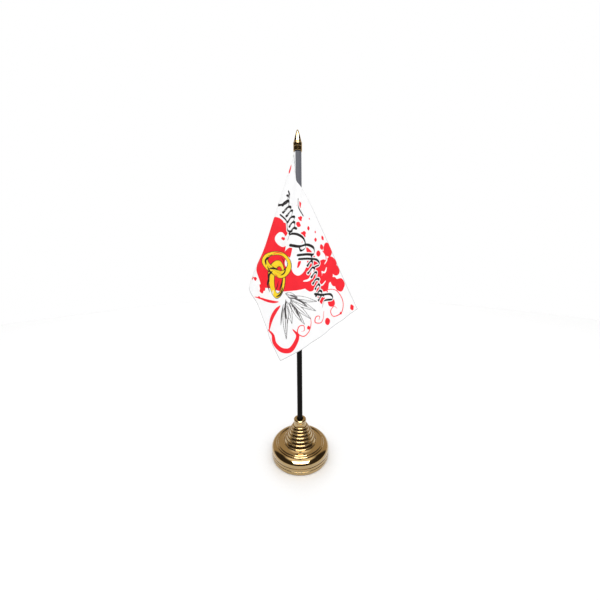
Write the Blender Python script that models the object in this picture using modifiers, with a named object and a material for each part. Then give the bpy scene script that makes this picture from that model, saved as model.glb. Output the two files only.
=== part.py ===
"""A desk flag stand: a stepped gold base with a thin black pole, a spear finial and a small cloth flag.

Metres, +Z up. The origin is on the pole's axis, at the centre of the underside, on the table.
The flag's sheet hangs from its sleeve, folds round at the left and comes forward across the pole."""
import math

import bpy
import numpy as np

MM = 0.001
GAP = 0.3  # mm, the clearance between neighbouring pieces

# Pole, in mm
POLE_R = 2.5
POLE_WALL = 0.9
POLE_BORE_R = POLE_R - POLE_WALL
POLE_TOP = 281.3
SOCKET_FLOOR = 15.0
POLE_BOTTOM = SOCKET_FLOOR + GAP

# Base, in mm
BASE_R = 27.8
SHELL_BOTTOM = 3.7
WALL = 1.6
SOCKET_R = POLE_R + GAP + 0.05
SOCKET_TUBE_R = SOCKET_R + 1.75
MOUTH_R = SOCKET_R + 0.4
COLLAR_R = MOUTH_R + 2.75
COLLAR_TOP = 36.8
COLLAR_NECK = 33.0
# One moulded ring of the stepped cone each: (how far out from the collar, height of its crown)
STEPS = [(1.2, 30.6), (2.6, 28.4), (4.0, 26.1), (5.5, 23.6), (7.1, 20.9), (8.6, 18.3), (10.3, 15.6)]
RINGS = [(COLLAR_R + out, crown) for out, crown in STEPS]
RING_BEAD = 0.7
CONE_R = RINGS[-1][0]
# The two fine lines round the dish: (how far in from the rim, height of its crown)
FINE_RINGS = [(BASE_R - 6.4, 14.3), (BASE_R - 4.8, 13.6)]
FINE_BEAD = 0.4

# Finial, in mm
CUP_WALL = 0.8
FINIAL_BORE_R = POLE_R + GAP
CUP_R = FINIAL_BORE_R + CUP_WALL
CUP_BOTTOM = POLE_TOP - 4.9
STEP_Z = POLE_TOP + 1.3
TIP_Z = POLE_TOP + 12.2

# Flag, in mm
FLY = 150.0
HOIST = 100.0
FLAG_TOP = CUP_BOTTOM - 0.5
CLOTH = 0.3
SLEEVE_R = POLE_R + GAP + CLOTH / 2 + 0.1
# The fold: the panel leaves the sleeve at HEADING, and bends by BENDS degrees of turn per degree up to each STOP
LEAVES_AT = math.radians(201)
HEADING = math.radians(112)
BENDS = (1.24, 9.45, 0.09, 1.05)
STOPS = (20.6, 41.6, 50.9)
BEND_EASE = 1.05
DROP = 23.5  # how far the top edge runs straight down before it crosses the pole
DROP_EASE = 3.0
FRONT = (-3.3, -4.7)  # where the front of the fold passes the pole
SWING = 3.9  # how far the top edge swings to the right as it crosses


def clear_scene():
    for o in list(bpy.data.objects):
        bpy.data.objects.remove(o, do_unlink=True)


def new_collection(name):
    c = bpy.data.collections.new(name)
    bpy.context.scene.collection.children.link(c)
    return c


def new_material(name, colour, roughness, metallic=0.0):
    m = bpy.data.materials.new(name)
    m.use_nodes = True
    shader = m.node_tree.nodes["Principled BSDF"]
    shader.inputs["Base Color"].default_value = (*colour, 1.0)
    shader.inputs["Roughness"].default_value = roughness
    shader.inputs["Metallic"].default_value = metallic
    return m


def new_object(name, points, faces, edges=()):
    mesh = bpy.data.meshes.new(name)
    mesh.from_pydata([tuple(c * MM for c in p) for p in points], list(edges), faces)
    o = bpy.data.objects.new(name, mesh)
    STAND.objects.link(o)
    return o


def revolve(name, profile, steps, closed=False):
    """A solid of revolution about Z: profile is (r, z) in mm, down the outer side from the top."""
    n = len(profile)
    edges = [(i, (i + 1) % n) for i in range(n if closed else n - 1)]
    o = new_object(name, [(r, 0.0, z) for r, z in profile], [], edges)
    s = o.modifiers.new("turn", "SCREW")
    s.axis = "Z"
    s.angle = math.tau
    s.steps = steps
    s.render_steps = steps
    s.use_merge_vertices = True
    s.merge_threshold = 0.00002
    return o


def bead(radius, crown, size, first=120.0, last=-50.0, count=5):
    """The rounded front of one moulded ring, from its crown down."""
    found = []
    for i in range(count):
        a = math.radians(first + (last - first) * i / (count - 1))
        found.append((radius - size + size * math.cos(a), crown - size + size * math.sin(a)))
    return found


def smooth(a, b, x):
    t = np.clip((x - a) / (b - a), 0.0, 1.0)
    return t * t * (3.0 - 2.0 * t)


def fold_directions(count=361):
    """The panel's straight lines all start at the top of the hoist. This is the direction of each,
    from the one down the hoist, 90 degrees, to the one along the top edge, 0 degrees."""
    step = math.radians(90.0) / (count - 1)
    u = np.array([0.0, 0.0, -1.0])
    t = np.array([math.cos(HEADING), math.sin(HEADING), 0.0])
    found = [u.copy()]
    for i in range(1, count):
        at = math.degrees((i - 0.5) * step)
        bend = BENDS[0]
        for before, after, stop in zip(BENDS, BENDS[1:], STOPS):
            bend += (after - before) / (1.0 + math.exp(-(at - stop) / BEND_EASE))
        turned = t + step * (-u - bend * np.cross(u, t))
        turned /= np.linalg.norm(turned)
        u = u + step * (t + turned) / 2.0
        u /= np.linalg.norm(u)
        t = turned - u * (turned @ u)
        t /= np.linalg.norm(t)
        found.append(u.copy())
    return np.linspace(90.0, 0.0, count), np.array(found)


def panel_points(s, t):
    """Where the point s mm along the fly and t mm down the hoist hangs."""
    angles, lines = fold_directions()
    r = np.hypot(s, t)
    phi = np.degrees(np.arctan2(t, s))
    final = np.stack([np.interp(-phi, -angles, lines[:, k]) for k in range(3)], -1)
    g = smooth(54.0, 10.0, phi)[..., None]
    first = final * (1.0 - g) + np.array([0.0, 0.0, -1.0]) * g
    place = np.zeros(final.shape)
    parts = 40
    for i in range(parts):
        m = smooth(DROP - DROP_EASE, DROP + DROP_EASE, (i + 0.5) / parts * r)[..., None]
        d = first * (1.0 - m) + final * m
        d /= np.linalg.norm(d, axis=-1, keepdims=True)
        place += d * (r / parts)[..., None]
    f = smooth(75.0, 25.0, phi) * smooth(0.0, 12.0, r)
    hoist = (SLEEVE_R * math.cos(LEAVES_AT), SLEEVE_R * math.sin(LEAVES_AT))
    place[..., 0] += hoist[0] + (FRONT[0] - hoist[0]) * f
    place[..., 1] += hoist[1] + (FRONT[1] - hoist[1]) * f
    crossing = smooth(20.0, 30.0, r) * smooth(38.0, 8.0, phi) * (1.0 - smooth(30.0, 150.0, r))
    place[..., 0] += SWING * crossing
    place[..., 2] += FLAG_TOP
    return place


def make_flag():
    """One sheet: the sleeve's wrap round the pole, then the panel."""
    rows = 28
    columns = np.concatenate([np.linspace(0.0, 24.0, 10), np.linspace(27.5, FLY, 34)])
    wrap = np.radians(np.linspace(201.0 + 309.0, 201.0, 25))[:-1]
    t = np.linspace(0.0, HOIST, rows)
    down, along = np.meshgrid(t, columns, indexing="ij")
    panel = panel_points(along, down)
    points = []
    for i in range(rows):
        for a in wrap:
            points.append((SLEEVE_R * math.cos(a), SLEEVE_R * math.sin(a), FLAG_TOP - t[i]))
        points += [tuple(p) for p in panel[i]]
    across = len(wrap) + len(columns)
    faces = []
    for i in range(rows - 1):
        for j in range(across - 1):
            a = i * across + j
            faces.append((a, a + 1, a + across + 1, a + across))
    o = new_object("flag", points, faces)
    s = o.modifiers.new("cloth", "SOLIDIFY")
    s.thickness = CLOTH * MM
    s.offset = 0.0
    s.use_even_offset = False
    return o


def make_seam():
    """The sleeve's line of stitches, as one thread beside the pole."""
    curve = bpy.data.curves.new("sleeve_seam", "CURVE")
    curve.dimensions = "3D"
    curve.bevel_depth = 0.14 * MM
    curve.bevel_resolution = 1
    curve.use_fill_caps = True
    spline = curve.splines.new("POLY")
    stitches = 38
    spline.points.add(2 * stitches)
    beside = (SLEEVE_R + 0.25) / 3.3
    for i, p in enumerate(spline.points):
        z = FLAG_TOP - 3.0 - (HOIST - 6.0) * i / (2 * stitches)
        side = 0.09 if i % 2 else -0.09
        p.co = ((-3.3 * beside + side * 0.36) * MM, (1.95 * beside + side) * MM, z * MM, 1.0)
    o = bpy.data.objects.new("sleeve_seam", curve)
    STAND.objects.link(o)
    return o


clear_scene()
STAND = new_collection("desk_flag_stand")

# The base's shell: a blind socket, a rolled collar, a stepped cone, a dish, a shoulder and a side wall
outer = [(0.0, SOCKET_FLOOR), (SOCKET_R, SOCKET_FLOOR), (SOCKET_R, COLLAR_TOP - 3.2)]
outer += [(MOUTH_R, COLLAR_TOP - 2.8), (MOUTH_R, COLLAR_TOP - 0.3), (MOUTH_R + 0.3, COLLAR_TOP)]
outer += bead(COLLAR_R, COLLAR_TOP, 1.3, 90.0, 0.0, 4)
outer += [(COLLAR_R, COLLAR_TOP - 2.4), (COLLAR_R - 0.5, COLLAR_NECK + 0.4), (COLLAR_R - 0.75, COLLAR_NECK - 0.3)]
for radius, crown in RINGS:
    outer += bead(radius, crown, RING_BEAD)
outer += [(CONE_R + 0.45, 14.1), (CONE_R + 2.3, 13.7), (FINE_RINGS[0][0] - 0.8, 13.55)]
for radius, crown in FINE_RINGS:
    outer += bead(radius, crown, FINE_BEAD, 130.0, 40.0, 3) + [(radius + 0.3, crown - 0.78)]
shoulder = [(4.1, 12.85), (3.0, 12.4), (1.8, 11.7), (0.8, 10.8), (0.2, 9.9), (0.0, 9.0)]
outer += [(BASE_R - inward, z) for inward, z in shoulder]
outer += [(BASE_R, 6.6), (BASE_R - 0.4, 6.3), (BASE_R - 0.4, 5.9), (BASE_R, 5.6), (BASE_R, SHELL_BOTTOM)]
inner = [(BASE_R - WALL, SHELL_BOTTOM), (BASE_R - WALL, 8.6), (BASE_R - 2.6, 10.3), (BASE_R - 4.8, 11.3)]
inner += [(CONE_R - 0.3, 12.0)]
inner += [(CONE_R - 2.9, 15.0), (CONE_R - 5.7, 19.6), (CONE_R - 8.7, 24.8), (SOCKET_TUBE_R + 1.0, 28.3)]
inner += [(SOCKET_TUBE_R, 28.6)]
inner += [(SOCKET_TUBE_R, SOCKET_FLOOR - 1.6), (0.0, SOCKET_FLOOR - 1.6)]
base_shell = revolve("base_shell", outer + inner, 64)

# The closing plate: a rim that makes the base's lowest band, a floor, and a lip that fits inside the shell
plate_top = SHELL_BOTTOM - GAP
pad_recess_r = BASE_R - 2.2
pad_recess_z = 1.3
lip_r = BASE_R - WALL - GAP
plate = [(0.0, plate_top), (lip_r - 1.2, plate_top), (lip_r - 1.2, plate_top + 2.4), (lip_r, plate_top + 2.4)]
plate += [(lip_r, plate_top), (BASE_R - 0.2, plate_top), (BASE_R, plate_top - 0.2), (BASE_R, 0.8)]
plate += [(BASE_R - 0.3, 0.4), (pad_recess_r, 0.4), (pad_recess_r, pad_recess_z), (0.0, pad_recess_z)]
base_plate = revolve("base_plate", plate, 64)

# The weight inside the base
ballast_r = BASE_R - 4.8
ballast_top = 9.6
ballast = [(0.0, ballast_top), (ballast_r - 0.5, ballast_top), (ballast_r, ballast_top - 0.5)]
ballast += [(ballast_r, plate_top + GAP), (0.0, plate_top + GAP)]
ballast_disc = revolve("ballast_disc", ballast, 64)

# The pad under the base
pad = [(0.0, pad_recess_z - GAP), (pad_recess_r - GAP, pad_recess_z - GAP), (pad_recess_r - GAP, 0.0), (0.0, 0.0)]
foot_pad = revolve("foot_pad", pad, 64)

# The pole, a thin tube
tube = [(POLE_BORE_R, POLE_TOP), (POLE_R - 0.2, POLE_TOP), (POLE_R, POLE_TOP - 0.2)]
tube += [(POLE_R, POLE_BOTTOM + 0.2), (POLE_R - 0.2, POLE_BOTTOM), (POLE_BORE_R, POLE_BOTTOM)]
pole = revolve("pole", tube, 40, closed=True)

# The finial: a cup over the pole's end, a raised line, and a pointed cone
spear = [(0.0, TIP_Z), (0.45, TIP_Z - 0.15), (0.8, TIP_Z - 0.7), (CUP_R - 1.74, TIP_Z - 4.6)]
spear += [(CUP_R - 0.85, TIP_Z - 7.9), (CUP_R - 0.2, STEP_Z + 0.5)]
spear += [(CUP_R + 0.15, STEP_Z + 0.3), (CUP_R + 0.15, STEP_Z - 0.1), (CUP_R - 0.05, STEP_Z - 0.3), (CUP_R, CUP_BOTTOM + 0.3)]
spear += [(CUP_R - 0.2, CUP_BOTTOM), (FINIAL_BORE_R + 0.3, CUP_BOTTOM), (FINIAL_BORE_R, CUP_BOTTOM + 0.4)]
spear += [(FINIAL_BORE_R, POLE_TOP + GAP), (0.0, POLE_TOP + GAP)]
finial = revolve("finial", spear, 40)

flag = make_flag()
sleeve_seam = make_seam()

gold = new_material("gold_metallised_abs", (0.33, 0.2, 0.06), 0.25, 1.0)
for piece, material in (
    (base_shell, gold),
    (base_plate, new_material("gold_metallised_abs_plate", (0.33, 0.2, 0.06), 0.28, 1.0)),
    (ballast_disc, new_material("cast_iron", (0.12, 0.12, 0.12), 0.6, 1.0)),
    (foot_pad, new_material("black_eva_foam", (0.02, 0.02, 0.02), 0.9)),
    (pole, new_material("black_plastic", (0.01, 0.01, 0.01), 0.35)),
    (finial, new_material("gold_metallised_abs_finial", (0.33, 0.2, 0.06), 0.25, 1.0)),
    (flag, new_material("white_polyester", (0.85, 0.85, 0.84), 0.7)),
    (sleeve_seam, new_material("white_thread", (0.8, 0.8, 0.8), 0.6)),
):
    piece.data.materials.append(material)
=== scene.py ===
# %% [markdown]
# # A desk flag stand
# A small printed flag hangs from a sleeve on a thin black pole. The pole stands in a round, stepped base of
# gold-coloured plastic, and a pointed finial closes its top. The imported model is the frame: every piece
# here is made in the same place, in metres, and rides on one of the frame's bodies.

# %% Load the frame
import math

import bmesh
import bpy
import numpy as np
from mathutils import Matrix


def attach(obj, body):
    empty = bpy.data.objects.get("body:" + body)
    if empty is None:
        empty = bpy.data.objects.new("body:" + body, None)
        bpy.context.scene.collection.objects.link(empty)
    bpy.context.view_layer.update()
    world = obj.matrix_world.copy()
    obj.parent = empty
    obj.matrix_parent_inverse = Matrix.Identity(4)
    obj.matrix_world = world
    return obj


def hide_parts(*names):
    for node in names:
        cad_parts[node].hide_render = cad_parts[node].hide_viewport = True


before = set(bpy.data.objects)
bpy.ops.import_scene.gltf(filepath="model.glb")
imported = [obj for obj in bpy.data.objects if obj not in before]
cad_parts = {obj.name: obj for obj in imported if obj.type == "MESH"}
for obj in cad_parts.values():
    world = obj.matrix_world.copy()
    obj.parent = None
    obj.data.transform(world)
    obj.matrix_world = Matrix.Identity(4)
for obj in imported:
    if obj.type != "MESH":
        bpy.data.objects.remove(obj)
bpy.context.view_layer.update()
MM = 0.001

# %% [markdown]
# ## Colours and nodes
# Colours are written as the sRGB hex values that a paint chart or a screen would give, and the shader works
# in linear light, so one function turns the first into the second. Every material below is a small tree of
# nodes: one function sets or links a node's sockets, and another adds a node and does that for it.

# %% Colour and node helpers
# A Mix node has sockets for every kind of value, and these are the ones that mix two colours
FACTOR, COLOUR_A, COLOUR_B, MIXED = 0, 6, 7, 2


def linear(code, alpha=1.0):
    """An sRGB hex value such as "#c8a45f" as linear RGBA."""
    found = []
    for i in (1, 3, 5):
        c = int(code[i : i + 2], 16) / 255.0
        found.append(c / 12.92 if c <= 0.04045 else ((c + 0.055) / 1.055) ** 2.4)
    return (*found, alpha)


def set_inputs(tree, node, inputs):
    """Gives each socket its value, or links it to the output that feeds it."""
    for key, value in inputs.items():
        if isinstance(value, bpy.types.NodeSocket):
            tree.links.new(value, node.inputs[key])
        else:
            node.inputs[key].default_value = value


def add(tree, kind, inputs=None, **settings):
    """A new node: settings are its properties, and inputs what its sockets hold or are fed by."""
    node = tree.nodes.new(kind)
    for name, value in settings.items():
        setattr(node, name, value)
    set_inputs(tree, node, inputs or {})
    return node


def per_metre(size):
    """How many grains of a size in mm lie side by side in a metre, which is a texture's scale."""
    return 1000.0 / size


def new_material(name):
    """An empty material: (material, its tree, its Principled shader)."""
    material = bpy.data.materials.new(name)
    material.use_nodes = True
    tree = material.node_tree
    return material, tree, tree.nodes["Principled BSDF"]


print("mid grey in linear light:", [round(c, 3) for c in linear("#808080")])

# %% [markdown]
# ## Turned shapes
# The base, its closing plate, the pole and the finial are bodies of revolution: they are moulded or extruded
# round one axis. Each is a profile of (radius, height) pairs, drawn down the outer side and turned by a Screw
# modifier, which keeps the rings as crisp as the mould's. The result is made a plain mesh so that smooth
# shading can stop at the true edges.

# %% Turned-shape helpers
def finish_mesh(o, angle=35.0):
    """Applies the object's modifiers and smooths all but its sharp edges."""
    shape = bpy.data.meshes.new_from_object(o.evaluated_get(bpy.context.evaluated_depsgraph_get()))
    o.modifiers.clear()
    old, o.data = o.data, shape
    bpy.data.meshes.remove(old)
    shape.name = o.name
    shape.shade_smooth()
    shape.set_sharp_from_angle(angle=math.radians(angle))
    return o


def turned(name, profile, steps, closed=False, angle=35.0):
    """A body of revolution about Z from (radius, height) pairs in mm."""
    n = len(profile)
    mesh = bpy.data.meshes.new(name)
    edges = [(i, (i + 1) % n) for i in range(n if closed else n - 1)]
    mesh.from_pydata([(r * MM, 0.0, z * MM) for r, z in profile], edges, [])
    o = bpy.data.objects.new(name, mesh)
    bpy.context.scene.collection.objects.link(o)
    screw = o.modifiers.new("turn", "SCREW")
    screw.angle = math.tau
    screw.steps = steps
    screw.render_steps = steps
    screw.use_merge_vertices = True
    screw.merge_threshold = 0.000005
    return finish_mesh(o, angle)


def arc(radius, height, size, first, last, count):
    """Points of a rounded edge: its centre, its radius, and its first and last angle in degrees."""
    found = []
    for i in range(count):
        a = math.radians(first + (last - first) * i / (count - 1))
        found.append((radius + size * math.cos(a), height + size * math.sin(a)))
    return found


print("a quarter round:", [(round(r, 2), round(z, 2)) for r, z in arc(5, 5, 1, 90, 0, 3)])

# %% [markdown]
# ## Gold: metallised ABS
# The base and the finial are ABS, moulded and then vacuum metallised: a film of aluminium under a clear
# lacquer tinted gold. To the eye it is a metal, with sharp reflections, but softer and warmer than polished
# brass, and the lacquer over it adds a second, whiter gloss. The film thins on edges and dust nibs show as
# faint waves, so roughness and bump vary a little.

# %% Gold material
def metallised_abs(name, pale, deep, roughness):
    """Two tones of gold that drift into each other, under a coat of lacquer."""
    material, tree, shader = new_material(name)
    place = add(tree, "ShaderNodeTexCoord").outputs["Object"]
    # The lacquer's slow waves
    wave = add(tree, "ShaderNodeTexNoise", {"Vector": place, "Scale": per_metre(6.25), "Detail": 3.0})
    # Dust nibs and fine handling marks
    nibs = add(tree, "ShaderNodeTexNoise", {"Vector": place, "Scale": per_metre(0.8), "Detail": 4.0})
    rough = add(
        tree,
        "ShaderNodeMapRange",
        {
            "Value": nibs.outputs["Fac"],
            "From Min": 0.3,
            "From Max": 0.75,
            "To Min": roughness - 0.03,
            "To Max": roughness + 0.07,
        },
    )
    tone = add(
        tree,
        "ShaderNodeMix",
        {FACTOR: wave.outputs["Fac"], COLOUR_A: linear(pale), COLOUR_B: linear(deep)},
        data_type="RGBA",
    )
    bump = add(tree, "ShaderNodeBump", {"Height": wave.outputs["Fac"], "Strength": 0.05, "Distance": 0.0006})
    set_inputs(
        tree,
        shader,
        {
            "Base Color": tone.outputs[MIXED],
            "Metallic": 1.0,
            "Roughness": rough.outputs["Result"],
            "Normal": bump.outputs["Normal"],
            "Coat Weight": 1.0,
            "Coat Roughness": 0.04,
            # Lacquer alone is about 1.5; the coat is set to mirror more, for the white gloss that it gives
            "Coat IOR": 1.9,
        },
    )
    return material


gold = metallised_abs("metallised_ABS_gold", "#ad8f52", "#a2854a", 0.07)
print("made", gold.name)

# %% [markdown]
# ## The base
# One moulding makes the base's shell: a blind socket for the pole, a rolled collar round its mouth, a cone of
# seven small steps that flares like a trumpet's bell, a shallow dish with two fine lines, a rounded shoulder
# and a straight side wall with one groove. Each step is a short bead, so that it catches the light as a line.

# %% Base shell
SOCKET_FLOOR, SOCKET_R, MOUTH_R = 15.0, 2.85, 3.25
COLLAR_R, COLLAR_TOP, COLLAR_NECK = 6.0, 36.8, 33.0
RINGS = [(7.2, 30.6), (8.6, 28.4), (10.0, 26.1), (11.5, 23.6), (13.1, 20.9), (14.6, 18.3), (16.3, 15.6)]
FINE_RINGS = [(21.4, 14.3), (23.0, 13.6)]
BASE_R = 27.8

profile = [(0.0, SOCKET_FLOOR), (SOCKET_R - 0.1, SOCKET_FLOOR), (SOCKET_R, SOCKET_FLOOR + 0.1)]
profile += [(SOCKET_R, z) for z in (20.0, 28.0, 33.6)] + [(MOUTH_R, 34.0)]
profile += arc(MOUTH_R + 0.3, COLLAR_TOP - 0.3, 0.3, 180.0, 90.0, 5)
profile += arc(COLLAR_R - 1.35, COLLAR_TOP - 1.35, 1.35, 90.0, 0.0, 9)
profile += arc(COLLAR_R - 1.2, COLLAR_TOP - 2.3, 1.2, 0.0, -75.0, 7)
profile += arc(COLLAR_R - 0.35, COLLAR_NECK + 0.1, 0.45, 150.0, 200.0, 3)
profile += [(COLLAR_R - 0.75, COLLAR_NECK - 0.3)]
for radius, crown in RINGS:
    profile += arc(radius - 0.7, crown - 0.7, 0.7, 120.0, -50.0, 10)
profile += [(16.75, 14.1), (17.6, 13.85), (18.6, 13.7), (19.6, 13.6), (20.6, 13.55)]
for radius, crown in FINE_RINGS:
    profile += arc(radius - 0.4, crown - 0.4, 0.4, 130.0, 40.0, 5) + [(radius + 0.3, crown - 0.78)]
profile += [(23.7, 12.85)]
profile += [(24.2, 12.72), (25.0, 12.35), (25.8, 11.85), (26.5, 11.25), (27.1, 10.5), (27.55, 9.7)]
profile += [(27.76, 9.1), (BASE_R, 8.6)]
profile += arc(BASE_R - 0.15, 6.75, 0.15, 0.0, -90.0, 3)
profile += [(BASE_R - 0.4, 6.55), (BASE_R - 0.4, 6.0)]
profile += arc(BASE_R - 0.15, 5.8, 0.15, 90.0, 0.0, 3)
profile += [(BASE_R, 3.85), (BASE_R - 0.15, 3.7)]
profile += [(26.2, 3.7), (26.2, 8.6), (25.2, 10.3), (23.0, 11.3), (16.0, 12.0), (13.4, 15.0), (10.6, 19.6)]
profile += [(7.6, 24.8), (5.6, 28.3), (4.6, 28.6), (4.6, 13.4), (0.0, 13.4)]
base_shell = turned("base_shell_moulding", profile, 192)
base_shell.data.materials.append(gold)
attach(base_shell, "base")
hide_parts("base_shell")
print("base shell:", len(base_shell.data.polygons), "faces")

# %% [markdown]
# The closing plate snaps into the shell from below, and its edge shows as the base's lowest band. A fine
# shadow line is left where the two meet.

# %% Closing plate
plate = [(0.0, 3.4), (24.7, 3.4), (24.7, 5.8), (25.9, 5.8), (25.9, 3.4), (27.5, 3.4)]
plate += arc(BASE_R - 0.25, 3.15, 0.25, 90.0, 0.0, 4)
plate += arc(BASE_R - 0.35, 0.75, 0.35, 0.0, -90.0, 5)
plate += [(25.7, 0.4), (25.6, 0.5), (25.6, 1.3), (0.0, 1.3)]
base_plate = turned("base_closing_plate", plate, 192)
base_plate.data.materials.append(gold)
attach(base_plate, "base")
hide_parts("base_plate")
print("closing plate:", len(base_plate.data.polygons), "faces")

# %% [markdown]
# ## The finial
# The finial is a moulded cap: a straight cup with a fine groove, which slips over the pole's end, one raised
# line, and a slim pointed cone with a rounded tip. Its open mouth stays dark, with the bare pole inside.

# %% Finial
CUP_R, CUP_BOTTOM, STEP_Z, TIP_Z = 3.6, 276.4, 282.6, 293.0
GROOVE = 0.12
spear = [(0.0, TIP_Z)] + arc(0.0, TIP_Z - 0.7, 0.7, 75.0, 18.0, 5)
spear += [(1.86, 288.9), (2.35, 287.2), (2.75, 285.6), (3.1, 284.2), (3.35, 283.2)]
spear += arc(CUP_R - 0.13, STEP_Z + 0.12, 0.25, 80.0, -80.0, 7)
spear += [(CUP_R - 0.1, STEP_Z - 0.25), (CUP_R, STEP_Z - 0.6)]
spear += [(CUP_R, STEP_Z - 0.7), (CUP_R, STEP_Z - 2.6)]
spear += [(CUP_R - GROOVE, STEP_Z - 2.75), (CUP_R - GROOVE, STEP_Z - 3.0)]
spear += [(CUP_R, STEP_Z - 3.15), (CUP_R, STEP_Z - 3.25)]
spear += [(CUP_R, CUP_BOTTOM + 0.4), (CUP_R, CUP_BOTTOM + 0.25)]
spear += arc(CUP_R - 0.2, CUP_BOTTOM + 0.2, 0.2, 0.0, -90.0, 4)
spear += [(3.1, CUP_BOTTOM), (2.8, CUP_BOTTOM + 0.4), (2.8, 281.6), (0.0, 281.6)]
finial = turned("finial_moulding", spear, 128)
finial.data.materials.append(gold)
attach(finial, "finial")
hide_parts("finial")
print("finial:", len(finial.data.polygons), "faces")

# %% [markdown]
# ## The pole: extruded black plastic
# The pole is a thin tube of extruded polystyrene. Extrusion draws very fine lines along it, so its bump and
# its gloss are stretched lengthwise, and its surface is a plain, slightly soft black.

# %% Pole material and shape
black_plastic, tree, shader = new_material("extruded_polystyrene_black")
place = add(tree, "ShaderNodeTexCoord").outputs["Object"]
# Lines of about 0.3 mm across and 30 mm long
stretch = add(tree, "ShaderNodeMapping", {"Vector": place, "Scale": (3300.0, 3300.0, 33.0)})
lines = add(tree, "ShaderNodeTexNoise", {"Vector": stretch.outputs["Vector"], "Scale": 1.0, "Detail": 2.0})
rough = add(tree, "ShaderNodeMapRange", {"Value": lines.outputs["Fac"], "To Min": 0.3, "To Max": 0.5})
tone = add(
    tree,
    "ShaderNodeMix",
    {FACTOR: lines.outputs["Fac"], COLOUR_A: linear("#080707"), COLOUR_B: linear("#0f0c0c")},
    data_type="RGBA",
)
bump = add(tree, "ShaderNodeBump", {"Height": lines.outputs["Fac"], "Strength": 0.15, "Distance": 0.0001})
set_inputs(
    tree,
    shader,
    {
        "Base Color": tone.outputs[MIXED],
        "Roughness": rough.outputs["Result"],
        "Normal": bump.outputs["Normal"],
        "IOR": 1.59,
        # Polystyrene's full gloss would show the whole bright room, and the real pole is a flat black
        "Specular IOR Level": 0.05,
    },
)

POLE_R, POLE_BOTTOM, POLE_TOP = 2.5, 15.3, 281.3
tube = [(1.6, POLE_TOP), (2.3, POLE_TOP)] + arc(2.3, POLE_TOP - 0.2, 0.2, 70.0, 0.0, 4)
tube += [(POLE_R, z) for z in (240.0, 200.0, 160.0, 120.0, 80.0, 40.0)]
tube += arc(2.3, POLE_BOTTOM + 0.2, 0.2, 0.0, -90.0, 4) + [(1.6, POLE_BOTTOM)]
pole = turned("pole_tube", tube, 64, closed=True)
pole.data.materials.append(black_plastic)
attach(pole, "pole")
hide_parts("pole")
print("pole:", len(pole.data.polygons), "faces")

# %% [markdown]
# ## Pieces that stay as the frame has them
# The iron weight is shut inside the base and the foam pad is under it, so their plain CAD shapes are right.
# Each still gets a finish: sand-cast iron is dark, rough and grainy, and EVA foam is matt with open cells.

# %% Iron and foam
iron, tree, shader = new_material("sand_cast_iron")
place = add(tree, "ShaderNodeTexCoord").outputs["Object"]
# Sand grains of about 1.1 mm
grain = add(tree, "ShaderNodeTexNoise", {"Vector": place, "Scale": 900.0, "Detail": 5.0})
tone = add(
    tree,
    "ShaderNodeMix",
    {FACTOR: grain.outputs["Fac"], COLOUR_A: linear("#3a3836"), COLOUR_B: linear("#5c5955")},
    data_type="RGBA",
)
bump = add(tree, "ShaderNodeBump", {"Height": grain.outputs["Fac"], "Strength": 0.6, "Distance": 0.0003})
set_inputs(
    tree,
    shader,
    {"Base Color": tone.outputs[MIXED], "Normal": bump.outputs["Normal"], "Metallic": 1.0, "Roughness": 0.62},
)

foam, tree, shader = new_material("EVA_foam_black")
place = add(tree, "ShaderNodeTexCoord").outputs["Object"]
# The open cells
cells = add(tree, "ShaderNodeTexVoronoi", {"Vector": place, "Scale": per_metre(0.4)})
tone = add(
    tree,
    "ShaderNodeMix",
    {FACTOR: cells.outputs["Distance"], COLOUR_A: linear("#161616"), COLOUR_B: linear("#2c2c2c")},
    data_type="RGBA",
)
bump = add(tree, "ShaderNodeBump", {"Height": cells.outputs["Distance"], "Strength": 0.5, "Distance": 0.0002})
set_inputs(
    tree,
    shader,
    {"Base Color": tone.outputs[MIXED], "Normal": bump.outputs["Normal"], "Roughness": 0.88},
)

for node, finish in (("ballast_disc", iron), ("foot_pad", foam)):
    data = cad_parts[node].data
    data.materials.clear()
    data.materials.append(finish)
print("iron and foam on", [n for n in ("ballast_disc", "foot_pad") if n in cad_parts])

# %% [markdown]
# ## How the flag hangs
# The flag is one sheet of thin polyester, 150 x 100 mm, with a sleeve along its hoist that wraps the pole. It
# falls back and to the left, folds round, and comes forward across the pole. Cloth bends easily but hardly
# stretches, so such a drape is nearly a cone: every straight line in it starts at the top of the hoist. The
# start shape is built from that rule. It is a curve of directions that bends most at the fold. Three smaller
# moves then leave the rule, as a real cloth does: the top swings out over the pole, the fold's foot kicks up,
# and the free corner leans back.

# %% The hanging shape
FLY, HOIST, FLAG_TOP = 150.0, 100.0, 275.9
CLOTH = 0.24
SLEEVE_R = 3.05
# Where the panel leaves the sleeve, and the way it sets off
LEAVES_AT = math.radians(201)
HEADING = math.radians(112)
# How sharply the directions bend, and the angles from the hoist, in degrees, at which that changes
BENDS = (1.24, 9.45, 0.09, 1.05)
STOPS = (20.6, 41.6, 50.9)
BEND_EASE = 1.05
# The top of the front panel drops straight down this far, in mm, before it spreads
DROP, DROP_EASE = 23.5, 1.6
DROP_PARTS = 60
# Where the front panel starts, seen from above
FRONT = (-3.3, -4.7)
SWING = 4.4
FOOT_LIFT = 9.0
CORNER_LEAN = (-1.0, 8.0, 3.0)


def smooth(a, b, x):
    """0 up to a, 1 from b, and a soft step between them."""
    t = np.clip((x - a) / (b - a), 0.0, 1.0)
    return t * t * (3.0 - 2.0 * t)


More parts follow.
